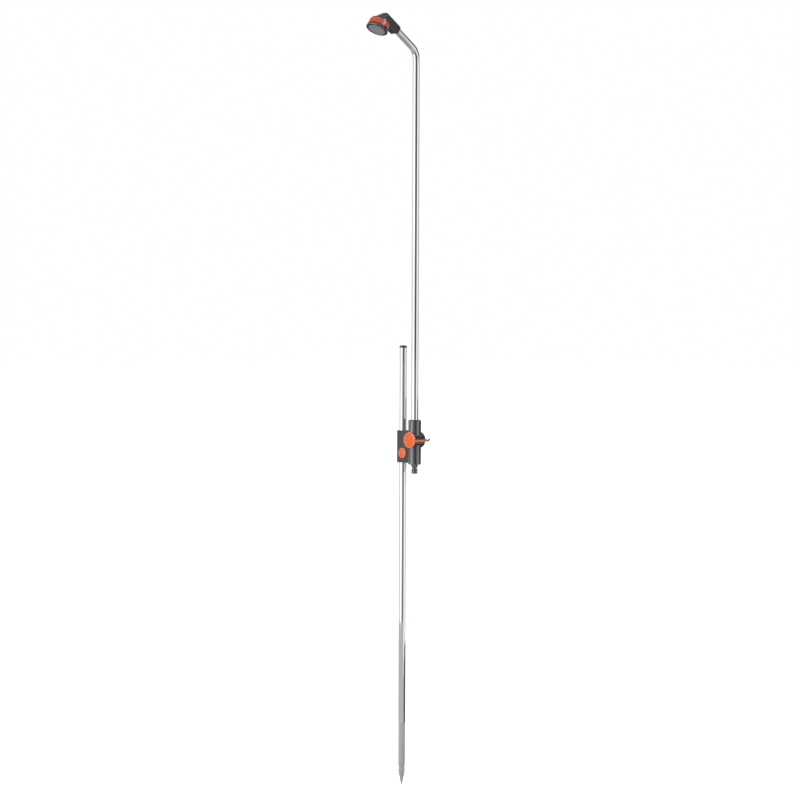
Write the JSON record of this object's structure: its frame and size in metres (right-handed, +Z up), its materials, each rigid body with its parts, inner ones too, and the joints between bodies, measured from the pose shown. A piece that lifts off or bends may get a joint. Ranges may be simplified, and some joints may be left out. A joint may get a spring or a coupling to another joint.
{
  "type": "garden shower",
  "caption": "Free-standing garden shower: chromed riser with a spray head, held by a push-button clamp on a tube with a ground spike, with a lever valve and a hose spigot.",
  "frame": {"origin": "on the axis of the ground tube where the spike begins, which is the soil line when it stands in the ground", "axes": "+Z up along the ground tube, -Y the way the spray head looks, +X from the ground tube toward the riser and the lever"},
  "size_m": [0.1388, 0.2053, 2.1769],
  "materials": {
    "chromed_tube": "bright chromed steel tube",
    "spike_grey": "matt grey coating",
    "black_gloss": "glossy black moulding",
    "black_matt": "matt black moulding",
    "orange": "satin orange moulding",
    "face_grey": "satin grey spray plate",
    "nozzle_grey": "soft grey nozzles",
    "rubber": "black seal rubber",
    "steel": "bright zinc-plated",
    "brass": "machined",
    "white_nylon": "natural nylon"
  },
  "bodies": {
    "ground_pole": {"ground_tube": "chromed_tube", "top_cap": "black_matt", "ground_spike": "spike_grey", "spike_rivet": "steel"},
    "carriage": {"clamp_front_shell": "black_gloss", "clamp_rear_cover": "black_gloss", "clamp_screws": "steel", "lower_guide_bush": "white_nylon", "upper_guide_bush": "white_nylon", "button_spring": "steel", "valve_housing": "black_gloss", "valve_rear_cap": "black_gloss", "upper_ball_seat": "white_nylon", "lower_ball_seat": "white_nylon", "stem_o_ring": "rubber", "hose_spigot": "black_gloss", "inlet_filter": "steel", "spigot_seal": "rubber", "riser_screw": "steel", "riser_tube": "chromed_tube", "riser_o_ring": "rubber", "head_shell": "black_gloss", "head_under_cover": "black_gloss", "head_screw": "steel", "head_core": "black_matt", "head_gasket": "rubber", "centre_screw": "steel"},
    "release": {"release_button": "orange", "button_wedge": "steel"},
    "jaw": {"clamp_jaw": "white_nylon", "jaw_liner": "rubber"},
    "valve": {"valve_ball": "brass", "valve_stem": "brass", "lever_knob": "orange", "knob_cap": "orange", "knob_screw": "steel"},
    "spray_face": {"selector_plate": "black_matt", "spray_ring": "orange", "bezel": "black_gloss", "spray_plate": "face_grey", "nozzle_mat": "nozzle_grey"}
  },
  "joints": [
    {"name": "height_slide", "type": "slide", "parent": "ground_pole", "child": "carriage", "axis": [0, 0, 1], "range_m": [-0.6, 0.22]},
    {"name": "button_press", "type": "slide", "parent": "carriage", "child": "release", "axis": [0, 1, 0], "range_m": [0, 0.003], "stiffness_N_per_m": 2000, "springref_m": -0.003, "deforming": ["button_spring"]},
    {"name": "jaw_release", "type": "slide", "parent": "carriage", "child": "jaw", "axis": [1, 0, 0], "range_m": [0, 0.00075]},
    {"name": "valve_turn", "type": "hinge", "parent": "carriage", "child": "valve", "pos_m": [0.047, 0, 0.809], "axis": [0, -1, 0], "range_deg": [0, 90]},
    {"name": "spray_turn", "type": "hinge", "parent": "carriage", "child": "spray_face", "pos_m": [0.047, -0.1558, 1.9499], "axis": [0, -0.4741, -0.8805], "continuous": true}
  ],
  "couplings": [
    {"joint": "jaw_release", "follows": "button_press", "ratio": 0.25}
  ]
}
